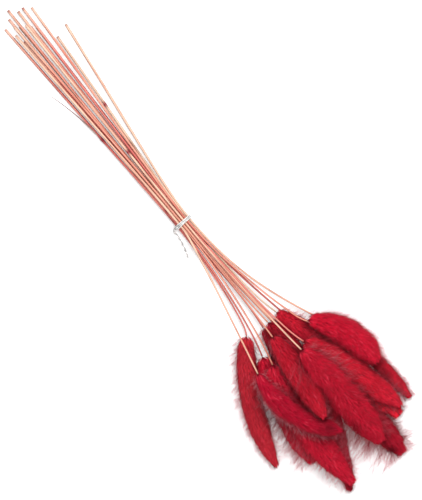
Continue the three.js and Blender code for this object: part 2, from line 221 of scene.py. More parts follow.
def onHead(head, s, angle, radius):
    # Points round the head's axis, at distances along it, angles round it and radii
    out = alongHead(head, "left", s) * np.cos(angle)[..., None]
    out += alongHead(head, "up", s) * np.sin(angle)[..., None]
    return alongHead(head, "line", s) + out * radius[..., None]


def outOfHead(head, s, angle):
    # The way out of the head's oval surface at those places
    left = alongHead(head, "left", s)
    up = alongHead(head, "up", s)
    out = left * (np.cos(angle) / (left ** 2).sum(-1))[..., None]
    return unit(out + up * (np.sin(angle) / (up ** 2).sum(-1))[..., None])


def radiusOf(head, s):
    return np.interp(s, head["s"], head["radius"])


stems = {n: readStem(f"stem_{n}") for n in numbers}
heads = {n: readHead(n, stems[n][0][-1]) for n in numbers}
print(f"read {len(stems)} stems and {len(heads)} heads")


# Meshes

def addObject(name, data):
    thing = bpy.data.objects.new(name, data)
    bpy.context.scene.collection.objects.link(thing)
    return thing


def buildPiece(name, points, faces, attributes, materials, slotOf=None):
    mesh = bpy.data.meshes.new(name)
    sides = faces.shape[1]
    mesh.vertices.add(len(points))
    mesh.vertices.foreach_set("co", points.astype(np.float32).ravel())
    mesh.loops.add(faces.size)
    mesh.loops.foreach_set("vertex_index", faces.astype(np.int32).ravel())
    mesh.polygons.add(len(faces))
    mesh.polygons.foreach_set("loop_start", np.arange(0, faces.size, sides, dtype=np.int32))
    mesh.polygons.foreach_set("use_smooth", np.full(len(faces), True))
    for material in materials:
        mesh.materials.append(material)
    if slotOf is not None:
        mesh.polygons.foreach_set("material_index", slotOf.astype(np.int32))
    for key, values in attributes.items():
        layer = mesh.attributes.new(key, "FLOAT", "POINT")
        layer.data.foreach_set("value", values.astype(np.float32))
    mesh.update()
    mesh.validate()
    return addObject(name, mesh)


def placePiece(piece, slot, *nodes):
    if nodes:
        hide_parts(*nodes)
    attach(piece, "root")


def tubeFaces(rings, sides):
    rows = np.arange(rings - 1)[:, None] * sides
    i = np.arange(sides)
    k = (i + 1) % sides
    quads = np.stack([rows + i, rows + k, rows + sides + k, rows + sides + i], -1).reshape(-1, 4)
    return np.concatenate([quads[:, [0, 1, 2]], quads[:, [0, 2, 3]]])


def closedTube(rings):
    # A closed tube through rings of equally many points, with a middle point at each end
    amount, sides = rings.shape[:2]
    points = np.vstack([rings.reshape(-1, 3), rings[0].mean(0), rings[-1].mean(0)])
    i = np.arange(sides)
    k = (i + 1) % sides
    last = (amount - 1) * sides
    middle = amount * sides
    start = np.stack([np.full(sides, middle), k, i], -1)
    end = np.stack([np.full(sides, middle + 1), last + i, last + k], -1)
    return points, np.concatenate([tubeFaces(amount, sides), start, end])


def joined(parts):
    # One set of points and one of faces, for parts that each begin with theirs
    starts = np.cumsum([0] + [len(part[0]) for part in parts[:-1]])
    points = np.concatenate([part[0] for part in parts])
    return points, np.concatenate([part[1] + start for part, start in zip(parts, starts)])


# Node helpers

def newGroup(name, colors, values, outputs):
    group = bpy.data.node_groups.new(name, "ShaderNodeTree")
    for label in colors:
        group.interface.new_socket(label, in_out="INPUT", socket_type="NodeSocketColor")
    for label, value in values.items():
        socket = group.interface.new_socket(label, in_out="INPUT", socket_type="NodeSocketFloat")
        socket.default_value = value
    for label in outputs:
        kind = "NodeSocketColor" if label == "Color" else "NodeSocketFloat"
        group.interface.new_socket(label, in_out="OUTPUT", socket_type=kind)
    return group, group.nodes.new("NodeGroupInput").outputs, group.nodes.new("NodeGroupOutput")


def setInputs(tree, node, values):
    # Sockets by name or number, each with a value or with the socket that feeds it
    for key, value in values.items():
        if isinstance(value, bpy.types.NodeSocket):
            tree.links.new(value, node.inputs[key])
        else:
            node.inputs[key].default_value = value


def addNode(tree, kind, values, **settings):
    node = tree.nodes.new(kind)
    for key, value in settings.items():
        setattr(node, key, value)
    setInputs(tree, node, values)
    return node.outputs


def mathOn(tree, operation, first, second, clamp=False):
    values = {0: first, 1: second}
    return addNode(tree, "ShaderNodeMath", values, operation=operation, use_clamp=clamp)[0]


def times(tree, first, second, clamp=False):
    return mathOn(tree, "MULTIPLY", first, second, clamp)


def mixColors(tree, amount, first, second, blend="MIX"):
    values = {0: amount, 6: first, 7: second}
    return addNode(tree, "ShaderNodeMix", values, data_type="RGBA", blend_type=blend)[2]


def ramped(tree, value, low, high, bottom=0.0, top=1.0):
    values = dict(enumerate((value, low, high, bottom, top)))
    return addNode(tree, "ShaderNodeMapRange", values, interpolation_type="SMOOTHSTEP")[0]


def swung(tree, value, strength):
    # How far a value is from one half, times a strength
    return times(tree, mathOn(tree, "SUBTRACT", value, 0.5), strength)


def darkened(tree, color, light):
    grey = addNode(tree, "ShaderNodeCombineColor", {0: light, 1: light, 2: light})[0]
    return mixColors(tree, 1.0, color, grey, "MULTIPLY")


def noiseAt(tree, values):
    return addNode(tree, "ShaderNodeTexNoise", values)["Fac"]


def bumpOf(tree, height, look):
    values = {"Height": height, "Strength": look["bump"], "Distance": look["bumpHeight"]}
    return addNode(tree, "ShaderNodeBump", values)[0]


def readAttribute(tree, name):
    return addNode(tree, "ShaderNodeAttribute", {}, attribute_name=name)["Fac"]


def objectPlace(tree):
    return addNode(tree, "ShaderNodeTexCoord", {})["Object"]


def srgb(red, green, blue):
    # A colour as a screen gives it, from 0 to 255, as the linear one that shaders take
    spread = [c / 255 for c in (red, green, blue)]
    linear = [c / 12.92 if c <= 0.04045 else ((c + 0.055) / 1.055) ** 2.4 for c in spread]
    return (*linear, 1.0)


def newMaterial(name):
    material = bpy.data.materials.new(name)
    material.use_nodes = True
    tree = material.node_tree
    tree.nodes.clear()
    shader = tree.nodes.new("ShaderNodeBsdfPrincipled")
    output = tree.nodes.new("ShaderNodeOutputMaterial")
    tree.links.new(shader.outputs[0], output.inputs[0])
    return material, tree, shader


def groupMaterial(name, group, given, values, bumps=None):
    # A material that takes its colour, its roughness and perhaps its bumps from a group
    material, tree, shader = newMaterial(name)
    made = addNode(tree, "ShaderNodeGroup", given, node_tree=group)
    setInputs(tree, shader, {"Base Color": made["Color"], "Roughness": made["Roughness"], **values})
    if bumps:
        setInputs(tree, shader, {"Normal": bumpOf(tree, made["Height"], bumps)})
    return material


# Dyed fibre: colour from root to tip, uneven from one tuft to the next and in soft patches, with painted
# shade where the surface faces down or faces other heads

fibreForm = {
    "rootToMiddle": (0.0, 0.5),  # where along a hair one colour turns into the next
    "middleToTip": (0.45, 1.0),
    "detail": 2.0,
    "glintLots": (0.85, 1.15),  # the palest tufts take the glint's colour
    "glintShare": 0.8,
    "roughness": (0.5, 0.72),
}
furLook = {
    "root": srgb(116, 6, 28),
    "middle": srgb(184, 14, 42),
    "tip": srgb(204, 36, 60),
    "glint": srgb(214, 62, 82),
    "tuftContrast": 0.3,
    "patchScale": 120.0,
    "patchStrength": 0.4,
    "underShade": 0.86,  # painted shade: how much darker the fur is where it faces down or faces other heads
    "specular": 0.08,
    "sheen": srgb(255, 140, 150),
    "sheenWeight": 0.06,
    "sheenRoughness": 0.45,
    "paleTufts": 0.05,  # the share of tufts that catch the light
    "darkTufts": 0.05,
}
looseLook = {
    "root": srgb(176, 14, 38),
    "middle": srgb(198, 96, 108),
    "tip": srgb(222, 188, 192),
    "tuftContrast": 0.4,
    "patchScale": 40.0,
    "patchStrength": 0.3,
    # painted shade where loose hair lies among other heads
    "underShade": 0.75,
    "specular": 0.15,
}
awnLook = {
    **looseLook,
    "root": srgb(120, 20, 34),
    "middle": srgb(96, 40, 46),
    "tip": srgb(110, 76, 76),
    "tuftContrast": 0.8,
    "underShade": 0.5,
}
dyeShift = {
    "orangeGreen": 0.03,  # how much green a full lean to orange adds
    "orangeBlue": 0.3,  # and the share of blue that it takes away
    "eye": (0.3, 0.6, 0.1),  # how bright red, green and blue look beside each other
}


def makeFibreGroup():
    colors = ("Root Color", "Middle Color", "Tip Color", "Glint Color")
    values = {"Tuft Contrast": 0.5, "Patch Scale": 90.0, "Patch Strength": 0.3, "Painted Shade": 0.0}
    group, given, out = newGroup("dyedFibre", colors, values, ("Color", "Roughness"))
    along = readAttribute(group, "along")
    lot = readAttribute(group, "lot")
    toMiddle = ramped(group, along, *fibreForm["rootToMiddle"])
    toTip = ramped(group, along, *fibreForm["middleToTip"])
    lower = mixColors(group, toMiddle, given["Root Color"], given["Middle Color"])
    color = mixColors(group, toTip, lower, given["Tip Color"])
    noise = {"Vector": objectPlace(group), "Scale": given["Patch Scale"], "Detail": fibreForm["detail"]}
    patches = noiseAt(group, noise)
    byPatch = swung(group, patches, given["Patch Strength"])
    byTuft = swung(group, lot, given["Tuft Contrast"])
    light = mathOn(group, "ADD", mathOn(group, "ADD", byPatch, byTuft), 1.0)
    # painted shade: darker where the surface faces down or faces other heads
    paintedShade = times(group, readAttribute(group, "paintedShade"), given["Painted Shade"])
    light = times(group, light, mathOn(group, "SUBTRACT", 1.0, paintedShade))
    glint = ramped(group, lot, *fibreForm["glintLots"], 0.0, fibreForm["glintShare"])
    color = mixColors(group, glint, color, given["Glint Color"])
    roughness = ramped(group, lot, 0.0, 1.0, *fibreForm["roughness"])
    setInputs(group, out, {"Color": darkened(group, color, light), "Roughness": roughness})
    return group


fibreGroup = makeFibreGroup()


# A dye made brighter or darker, more orange and duller; the brightness is partly painted light and shade
def shiftDyeAndLight(color, bright, orange, dull):
    red, green, blue, _ = color
    green = green + dyeShift["orangeGreen"] * orange
    blue = blue * (1 - dyeShift["orangeBlue"] * orange)
    grey = sum(share * c for share, c in zip(dyeShift["eye"], (red, green, blue)))
    return (*[(c + (grey - c) * dull) * bright for c in (red, green, blue)], 1.0)


def makeFibreMaterial(name, look, sheen):
    given = {
        "Root Color": look["root"],
        "Middle Color": look["middle"],
        "Tip Color": look["tip"],
        "Glint Color": furLook["glint"],
        "Tuft Contrast": look["tuftContrast"],
        "Patch Scale": look["patchScale"],
        "Patch Strength": look["patchStrength"],
        "Painted Shade": look["underShade"],
    }
    return groupMaterial(name, fibreGroup, given, {"Specular IOR Level": look["specular"], **sheen})


def makeFurMaterial(n):
    own = lookOf(n)
    shift = (own["bright"], own["orange"], own["dull"])
    dyesAndLight = {key: shiftDyeAndLight(furLook[key], *shift) for key in ("root", "middle", "tip")}
    return makeFibreMaterial(f"dyedFur_{n}", {**furLook, **dyesAndLight}, {
        "Sheen Weight": furLook["sheenWeight"],
        "Sheen Roughness": furLook["sheenRoughness"],
        "Sheen Tint": furLook["sheen"],
    })


# Heads: a slim body, short dense underfur, longer tufts that lie forward over it, and loose wisps
# and dark awns that stand out of it

body = {
    "share": 0.66,  # its radius beside the head's
    "rings": 40,
    "sides": 18,
    "taper": 4 * mm,  # over which it narrows at both ends
    "leastTaper": 0.02,
    "along": 0.1,  # its colour, as that of hair near the root
    "lot": 0.4,
    # painted shade over the whole body under the fur
    "paintedShade": 0.5,
}
underFur = {
    "perArea": 1.7e6,  # hairs on a square metre of the head's outline
    "inTuft": 8,
    "tuftRadius": 0.9 * mm,
    "gather": 0.7,  # how wide a tuft is at its end, beside its root
    "length": (4.0 * mm, 6.5 * mm),
    "width": 0.32 * mm,
    "rootDepth": 0.55,  # where hairs start, as a share of the head's radius
    "tipHeight": (0.8, 0.94),  # where they end, as a share of the head's radius
    "sideSway": 0.2,
    "roll": 0.35,
    "bulge": 0.75,  # how much of its rise a hair has made halfway along
    "tipColor": 0.6,
}
topFur = {
    "perArea": 5.2e6,
    "inTuft": 6,
    "tuftRadius": 0.7 * mm,
    "gather": 0.45,
    "length": (4.5 * mm, 7.5 * mm),
    "width": 0.16 * mm,
    "rootDepth": 0.62,
    "tipHeight": (0.88, 1.1),
    "sideSway": 0.24,
    "roll": 0.4,
    "bulge": 0.8,
    "tipColor": 1.0,
}
tuft = {
    "scatter": 0.5,  # how widely its hairs are strewn, in its own radii
    "shortest": 0.75,  # a hair's length beside the tuft's own, at least
    "uneven": 0.35,  # and how much more it may be
    "leastHair": 1.5 * mm,
    "ruffle": 0.06,  # how unevenly high hairs end, as a share of the head's radius
    "shared": 0.75,  # how much of a hair's dye is its tuft's
    "paleLot": 1.3,
    "darkLot": -0.3,
    "endGirth": 2.5 * mm,  # the least radius that sways the ends of hair
}
furTip = {
    "ragged": (-3.5 * mm, 1.6 * mm),  # where the last hairs end, from the solid's tip on
    "closing": 6 * mm,  # over which the fur closes up towards the tip
    "closed": 0.7,
    "lastRoot": 2 * mm,  # the last hairs start this far before the tip
    "lastHair": 2 * mm,  # and may be this long, whatever the tip allows
}
furBase = {
    "length": 6 * mm,  # over which hair starts further out and paler, round the stem
    "rootDepth": 0.92,
    "paler": 0.9,  # so that no dark roots show
}
looseHair = {
    "hairs": 8000,
    "inWisp": 4,
    "spread": 0.5 * mm,  # how far a wisp's hairs start apart
    "part": 0.7 * mm,  # how far they end apart
    "length": (3.5 * mm, 12 * mm),
    "short": 1.8,  # above one, more of them are short
    "width": 0.06 * mm,
    "lean": (12, 80),  # degrees out from the way that the fur lies
    "sideSway": 0.35,
    "bulge": 0.62,
    "lessOnTop": 0.55,
    "lessCrowded": 0.42,  # how much shorter it is where heads lie close
    "redder": 0.95,  # how far hairs on top and among the heads keep to the red of their roots
}
awns = {
    "hairs": 36,
    "inWisp": 1,
    "spread": 0.0,
    "part": 0.0,
    "length": (6 * mm, 9 * mm),
    "short": 1.0,
    "width": 0.11 * mm,
    "lean": (15, 70),
    "sideSway": 0.5,
    "bulge": 0.4,
    "lessOnTop": 0.4,
    "lessCrowded": 0.3,
    "redder": 0.0,
}
wisp = {
    "stray": 1.0 * mm,  # how far along the head it may stray from its place
    "strayTurn": 0.2,  # and how far round it, in radians
    "lastRoot": 1 * mm,
    "pastTip": 4.5 * mm,
    "rootDepth": 0.7,
    "leastEnd": 0.6,  # the least radius at its end, beside that at its root
    "roll": 1.0,
    "endGirth": 3 * mm,
}
hairForm = {
    "corners": 4,
    "along": np.array([0.0, 0.55, 0.55, 1.0]),  # the root, the two middle corners and the tip
    "slimmest": 0.7,  # a hair's width beside its kind's, at least
    "wider": 0.6,  # and how much more it may be
    "rootGirth": 1.5 * mm,  # the least radius that strews roots round the head
    "leastRun": 0.01 * mm,
}
rooting = {
    "upTo": 0.97,  # the share of a head's length that hair grows on
    "samples": 200,
    "extra": 1.0 * mm,  # added to the radius, so that the slim ends have enough
    "turn": math.pi * (3 - math.sqrt(5)),  # the golden angle
}
crowd = {
    "reach": 9 * mm,  # how near another head must be to lay painted shade on the fur
    "hairReach": 14 * mm,  # and to keep loose hair short and red, and in painted shade
    "step": 3,  # every third point of its axis is looked at
}
sideReach = 6.4 * mm  # how far hair may stand out to either side of the bunch, past its solids
floorGap = 0.1 * mm
floorRuffle = 0.5 * mm  # how unevenly hair lies on the surface


def between(random, limits, size):
    return limits[0] + (limits[1] - limits[0]) * random.random(size)


def unevenWidths(random, kind, size):
    return kind["width"] * (hairForm["slimmest"] + hairForm["wider"] * random.random(size))


def spreadRoots(head, amount):
    # Places over the head's surface: more where it is thick, each a golden angle on from the last
    s = np.linspace(0, head["length"] * rooting["upTo"], rooting["samples"])
    girth = radiusOf(head, s) + rooting["extra"]
    share = np.concatenate([[0], np.cumsum((girth[1:] + girth[:-1]) / 2)])
    place = (np.arange(amount) + 0.5) / amount * share[-1]
    return np.interp(place, share, s), np.arange(amount) * rooting["turn"]


def heldIn(hairs):
    # Hairs that would stand out too far at the sides of the bunch are shorter
    root = hairs[:, :1]
    rootY = hairs[:, 0, 1]
    tipY = hairs[:, 3, 1]
    run = np.abs(tipY - rootY)
    room = np.where(tipY > rootY, cadHigh[1] + sideReach - rootY, rootY - cadLow[1] + sideReach)
    held = room * np.tanh(run / room) / np.maximum(run, hairForm["leastRun"])
    share = np.where(run > hairForm["leastRun"], held, 1)
    return root + (hairs - root) * share[:, None, None]


def growHairs(head, start, end, width, roll, bulge):
    # Flat hairs with a bend, widest at the middle: four corners and two faces each. Their start
    # and end are each a distance along the head, an angle round it and a radius.
    s0, angle0, radius0 = start
    s1, angle1, radius1 = end
    sMid = (s0 + s1) / 2
    angleMid = (angle0 + angle1) / 2
    root = onHead(head, s0, angle0, radius0)
    middle = onHead(head, sMid, angleMid, radius0 + (radius1 - radius0) * bulge)
    tip = onHead(head, s1, angle1, radius1)
    run = unit(tip - root)
    across = unit(np.cross(run, outOfHead(head, sMid, angleMid)))
    up = np.cross(across, run)
    across = across * np.cos(roll)[:, None] + up * np.sin(roll)[:, None]
    half = across * (width / 2)[:, None]
    corners = heldIn(np.stack([root, middle - half, middle + half, tip], 1))
    first = np.arange(len(s0))[:, None, None] * hairForm["corners"]
    pattern = np.array([[0, 2, 1], [1, 2, 3]])
    return corners.reshape(-1, 3), (first + pattern).reshape(-1, 3)


def downFacingShade(head, s, angle):
    # Painted shade: how far the head's surface faces down there
    return np.clip(0.5 - outOfHead(head, s, angle)[:, 2], 0, 1)


def crowdedAt(head, s, angle, reach):
    # How far the head's surface faces other heads close by, for painted shade there and shorter loose
    # hair
    places = onHead(head, s, angle, radiusOf(head, s))
    out = outOfHead(head, s, angle)
    rows = np.arange(len(s))
    shade = np.zeros(len(s))
    for other in heads.values():
        if other is head:
            continue
        toLine = other["line"][None, ::crowd["step"]] - places[:, None]
        distance = np.linalg.norm(toLine, axis=2)
        gap = distance - other["radius"][None, ::crowd["step"]]
        nearest = gap.argmin(1)
        facing = (toLine[rows, nearest] * out).sum(1) / distance[rows, nearest]
        shade += np.clip(1 - gap[rows, nearest] / reach, 0, 1) * np.clip(facing, 0, 1)
    return np.clip(shade, 0, 1)


def pressed(points, random):
    # Hair that would reach below the surface lies flat on it
    least = floorGap + floorRuffle * random.random(len(points))
    low = points[:, 2] < least
    points[low, 2] = least[low]
    return points


def bodyOf(head):
    s = np.linspace(0, head["length"], body["rings"])
    taper = np.minimum(s, head["length"] - s) / body["taper"]
    radius = radiusOf(head, s) * body["share"] * np.sqrt(np.clip(taper, body["leastTaper"], 1))
    angle = np.arange(body["sides"]) / body["sides"] * 2 * math.pi
    same = np.ones(len(angle))
    rings = [onHead(head, same * place, angle, same * r) for place, r in zip(s, radius)]
    points, faces = closedTube(np.array(rings))
    plain = np.ones(len(points))
    return points, faces, body["along"] * plain, body["lot"] * plain, body["paintedShade"] * plain


def furOf(head, random, kind):
    area = np.trapz(head["radius"], head["s"]) * 2 * math.pi
    each = kind["inTuft"]
    tufts = int(area * kind["perArea"] / each)
    size = tufts * each
    s, angle = spreadRoots(head, tufts)
    tuftLength = between(random, kind["length"], tufts)
    tuftSway = random.normal(0, kind["sideSway"], tufts)
    tuftTop = between(random, kind["tipHeight"], tufts)
    tuftEnd = head["length"] + between(random, furTip["ragged"], tufts)
    tuftLot = random.random(tufts)
    rare = random.random(tufts)
    tuftLot[rare > 1 - furLook["darkTufts"]] = tuft["darkLot"]
    tuftLot[rare < furLook["paleTufts"]] = tuft["paleLot"]
    crowded = crowdedAt(head, s + tuftLength / 2, angle, crowd["reach"])
    ofTufts = (s, angle, tuftLength, tuftSway, tuftTop, tuftEnd, tuftLot, crowded)
    s, angle, length, sway, top, end, lot, crowded = (np.repeat(v, each) for v in ofTufts)
    lot = tuft["shared"] * lot + (1 - tuft["shared"]) * random.random(size)
    offS = random.normal(0, tuft["scatter"], size) * kind["tuftRadius"]
    offA = random.normal(0, tuft["scatter"], size) * kind["tuftRadius"]
    s0 = np.clip(s + offS, 0, head["length"] - furTip["lastRoot"])
    r0 = radiusOf(head, s0)
    a0 = angle + offA / np.maximum(r0, hairForm["rootGirth"])
    length = length * (tuft["shortest"] + tuft["uneven"] * random.random(size))
    s1 = s + offS * kind["gather"] + length
    s1 = np.clip(s1, s0 + tuft["leastHair"], np.maximum(end, s0 + furTip["lastHair"]))
    r1 = radiusOf(head, s1)
    sway = sway * length / 2 + offA * kind["gather"]
    a1 = angle + sway / np.maximum(r1, tuft["endGirth"])
    top = top + tuft["ruffle"] * random.normal(size=size)
    nearTip = np.clip((s1 - head["length"]) / furTip["closing"] + 1, 0, 1)
    top = top * (1 - nearTip * random.random(size) * furTip["closed"])
    nearBase = np.clip(1 - s0 / furBase["length"], 0, 1)
    depth = kind["rootDepth"] + (furBase["rootDepth"] - kind["rootDepth"]) * nearBase
    width = unevenWidths(random, kind, size)
    roll = random.normal(0, kind["roll"], size)
    points, faces = growHairs(head, (s0, a0, r0 * depth), (s1, a1, r1 * top), width, roll, kind["bulge"])
    corners = hairForm["corners"]
    paler = np.repeat(furBase["paler"] * nearBase, corners)
    along = np.maximum(np.tile(hairForm["along"] * kind["tipColor"], size), paler)
    # painted shade where the fur faces down or faces other heads
    paintedShade = np.clip(downFacingShade(head, s1, a1) + crowded, 0, 1)
    return points, faces, along, np.repeat(lot, corners), np.repeat(paintedShade, corners)


def looseHairsOf(n, random, kind):
    head = heads[n]
    look = lookOf(n)
    each = kind["inWisp"]
    wisps = kind["hairs"] // each
    size = wisps * each
    s, angle = spreadRoots(head, wisps)
    s = np.clip(s + random.normal(0, wisp["stray"], wisps), 0, head["length"] - wisp["lastRoot"])
    angle = angle + random.normal(0, wisp["strayTurn"], wisps)
    length = kind["length"][0] + np.ptp(kind["length"]) * random.random(wisps) ** kind["short"]
    out = outOfHead(head, s, angle)
    onTop = np.clip(out[:, 2], 0, 1)
    crowded = crowdedAt(head, s, angle, crowd["hairReach"])
    length *= look["fringe"] * (1 + look["leftward"] * out[:, 1]) * (1 - kind["lessOnTop"] * onTop)
    length *= 1 - kind["lessCrowded"] * crowded
    lean = np.radians(between(random, kind["lean"], wisps))
    stand = length * np.sin(lean)
    forward = length * np.cos(lean)
    sway = random.normal(0, kind["sideSway"], wisps) * length / 2
    ofWisps = (s, angle, forward, stand, sway, random.random(wisps), crowded, onTop)
    s, angle, forward, stand, sway, lot, crowded, onTop = (np.repeat(v, each) for v in ofWisps)
    s0 = np.clip(s + kind["spread"] * random.normal(size=size), 0, head["length"])
    r0 = radiusOf(head, s0)
    aside = kind["spread"] * random.normal(size=size)
    a0 = angle + aside / np.maximum(r0, hairForm["rootGirth"])
    s1 = s + forward + kind["part"] * random.normal(size=size)
    s1 = np.minimum(s1, head["length"] + wisp["pastTip"])
    r1 = np.maximum(radiusOf(head, s1), r0 * wisp["leastEnd"]) + stand
    sway = sway + kind["part"] * random.normal(size=size)
    a1 = angle + sway / np.maximum(r1, wisp["endGirth"])
    width = unevenWidths(random, kind, size)
    roll = random.normal(0, wisp["roll"], size)
    start = (s0, a0, r0 * wisp["rootDepth"])
    points, faces = growHairs(head, start, (s1, a1, r1), width, roll, kind["bulge"])
    corners = hairForm["corners"]
    red = kind["redder"] * np.clip(crowded + onTop, 0, 1)
    along = np.tile(hairForm["along"], size) * np.repeat(1 - red, corners)
    # painted shade where loose hair faces other heads close by
    return points, faces, along, np.repeat(lot, corners), np.repeat(crowded, corners)


def makeHead(n):
    head = heads[n]
    random = np.random.default_rng(int(n))
    parts = [
        bodyOf(head),
        furOf(head, random, underFur),
        furOf(head, random, topFur),
        looseHairsOf(n, random, looseHair),
        looseHairsOf(n, random, awns),
    ]
    points, faces = joined(parts)
    points = pressed(points, random)
    keys = ("along", "lot", "paintedShade")
    attributes = {key: np.concatenate([part[k] for part in parts]) for k, key in enumerate(keys, 2)}
    slotOf = np.repeat([0, 0, 0, 1, 2], [len(part[1]) for part in parts])  # fur, loose hair, awns
    materials = [makeFurMaterial(n), looseMaterial, awnMaterial]
    piece = buildPiece(f"fur_head_{n}", points, faces, attributes, materials, slotOf)
    placePiece(piece, "grass_head", f"head_{n}")
    return len(faces)


looseMaterial = makeFibreMaterial("looseHair", looseLook, {})
awnMaterial = makeFibreMaterial("dryAwn", awnLook, {})
furTriangles = [makeHead(n) for n in numbers]
print(f"heads grown: {sum(furTriangles)} triangles, at most {max(furTriangles)} a head")


# Stems: fine round straws with lengthwise dye streaks and dark swollen joints, with painted shade low on
# their sides, in dark lines and inside the hollow cut end

stemLook = {
    "sides": 12,
    "rings": 110,
    "wobble": 0.03,  # how unevenly thick a stem is, as a share of its radius
    "wobbles": 24,
    "seed": 100,
    "boreShare": 0.62,  # the hollow's radius beside the stem's
    "hollowDepth": 3 * mm,
    "jointFrom": 1.15,  # a ring this much wider than the slimmer one beside it is a joint
    "jointRings": (-2.0, -1.2, -0.6, 0.0, 0.6, 1.2, 2.0),  # mm from its middle
    "jointBulge": 0.25,
    "jointLength": 2.4 * mm,
    "underShade": 0.5,  # painted shade: how much darker a stem is low on its sides
    "litSine": 0.85,  # the part of its top without painted shade, as the sine of its edge
    "darkCut": 0.8,  # how dark the dye may have dried at the very end
    "boreShade": (0.6, 0.4),  # painted shade inside the hollow, at its floor and its rim
    "boreFloorShade": 0.5,  # and the painted shade in the middle of that floor
    "paleLength": 42 * mm,  # over which the dye fades towards the cut end
    "specular": 0.4,
    "bump": 0.3,
    "bumpHeight": 0.1 * mm,
}
strawColors = {
    "cream": {"pale": srgb(250, 208, 180), "dyed": srgb(230, 146, 122), "streaks": 0.75},
    "peach": {"pale": srgb(246, 174, 148), "dyed": srgb(216, 106, 92), "streaks": 0.85},
    "salmon": {"pale": srgb(240, 144, 128), "dyed": srgb(208, 78, 78), "streaks": 0.9},
    "coral": {"pale": srgb(230, 122, 112), "dyed": srgb(182, 46, 56), "streaks": 0.95},
    "beige": {"pale": srgb(232, 202, 174), "dyed": srgb(206, 158, 132), "streaks": 0.6},
    "sheath": {"pale": srgb(186, 142, 146), "dyed": srgb(132, 84, 94), "streaks": 0.8},
}
strawOf = {
    "01": "peach", "02": "salmon", "03": "coral", "04": "cream", "05": "salmon",
    "06": "coral", "07": "salmon", "08": "peach", "09": "peach", "10": "beige",
    "11": "salmon", "12": "cream", "13": "cream", "14": "peach", "15": "peach",
}
# the dark joints' colour, also used for the painted shade inside the hollow cut end
jointColor = srgb(150, 34, 46)
endColor = srgb(252, 214, 188)
# dark brown lines along the straws: partly the straw's own streaks, partly painted shade between stems
shadeLineColor = srgb(92, 40, 32)
streakForm = {
    "apart": 40.0,  # how far stems lie from each other in the noise
    "lengthwise": 14.0,  # its scale along a stem, per metre
    "round": 0.9,  # and round it
    "broadScale": 1.0,
    "fineScale": 3.4,
    "detail": 2.0,
    "broad": 0.6,
    "fine": 0.4,
    "dyed": (0.4, 0.62),  # where in the noise the dye sets in and is full
    "endShare": 0.7,
    "shadeLines": (0.57, 0.66),
    "shadeLineShare": 0.85,
    "matt": (0.3, 0.7),  # where in the noise roughness starts to rise and is highest
    "roughness": (0.4, 0.6),
}


def makeStreakGroup():
    colors = ("Pale Color", "Dyed Color", "Shade Line Color", "Joint Color", "End Color")
    values = {"Streaks": 0.6, "Painted Shade": 0.0, "End Length": 0.05}
    group, given, out = newGroup("dyeStreaks", colors, values, ("Color", "Roughness", "Height"))
    along = readAttribute(group, "along")
    own = times(group, readAttribute(group, "lot"), streakForm["apart"])
    far = mathOn(group, "ADD", times(group, along, streakForm["lengthwise"]), own)
    x = times(group, readAttribute(group, "roundX"), streakForm["round"])
    y = times(group, readAttribute(group, "roundY"), streakForm["round"])
    place = addNode(group, "ShaderNodeCombineXYZ", {0: x, 1: y, 2: far})[0]
    broad, fine = (
        noiseAt(group, {"Vector": place, "Scale": streakForm[key], "Detail": streakForm["detail"]})
        for key in ("broadScale", "fineScale")
    )
    fineShare = times(group, fine, streakForm["fine"])
    both = mathOn(group, "ADD", fineShare, times(group, broad, streakForm["broad"]))
    dye = ramped(group, both, *streakForm["dyed"])
    dye = times(group, dye, given["Streaks"], clamp=True)
    color = mixColors(group, dye, given["Pale Color"], given["Dyed Color"])
    fromEnd = mathOn(group, "DIVIDE", along, given["End Length"])
    nearEnd = mathOn(group, "SUBTRACT", 1.0, fromEnd, clamp=True)
    faded = times(group, nearEnd, streakForm["endShare"])
    color = mixColors(group, faded, color, given["End Color"])
    # dark lines: partly streaks, partly painted shade between stems
    shadeLines = ramped(group, fine, *streakForm["shadeLines"], 0.0, streakForm["shadeLineShare"])
    color = mixColors(group, shadeLines, color, given["Shade Line Color"])
    # dark joints, and painted shade inside the hollow cut end
    color = mixColors(group, readAttribute(group, "jointAndBoreShade"), color, given["Joint Color"])
    # painted shade low on the stem's sides
    paintedShade = times(group, readAttribute(group, "paintedShade"), given["Painted Shade"])
    color = darkened(group, color, mathOn(group, "SUBTRACT", 1.0, paintedShade))
    roughness = ramped(group, fine, *streakForm["matt"], *streakForm["roughness"])
    setInputs(group, out, {"Color": color, "Roughness": roughness, "Height": fine})
    return group


streakGroup = makeStreakGroup()


def makeStrawMaterial(name, pale, dyed, streaks):
    given = {
        "Pale Color": pale,
        "Dyed Color": dyed,
        "Shade Line Color": shadeLineColor,
        "Joint Color": jointColor,
        "End Color": endColor,
        "Streaks": streaks,
        "Painted Shade": stemLook["underShade"],
        "End Length": stemLook["paleLength"],
    }
    return groupMaterial(name, streakGroup, given, {"Specular IOR Level": stemLook["specular"]}, stemLook)


strawMaterials = {key: makeStrawMaterial(f"straw_{key}", **look) for key, look in strawColors.items()}


def roundRings(line, radius, sides):
    # Rings round a line, and the cosine and sine of each point's place in its ring
    left, up = squareTo(unit(np.gradient(line, lengthsAlong(line), axis=0)))
    turn = np.arange(sides) / sides * 2 * math.pi
    out = left[:, None] * np.cos(turn)[None, :, None] + up[:, None] * np.sin(turn)[None, :, None]
    return line[:, None] + out * radius[:, None, None], np.cos(turn), np.sin(turn)


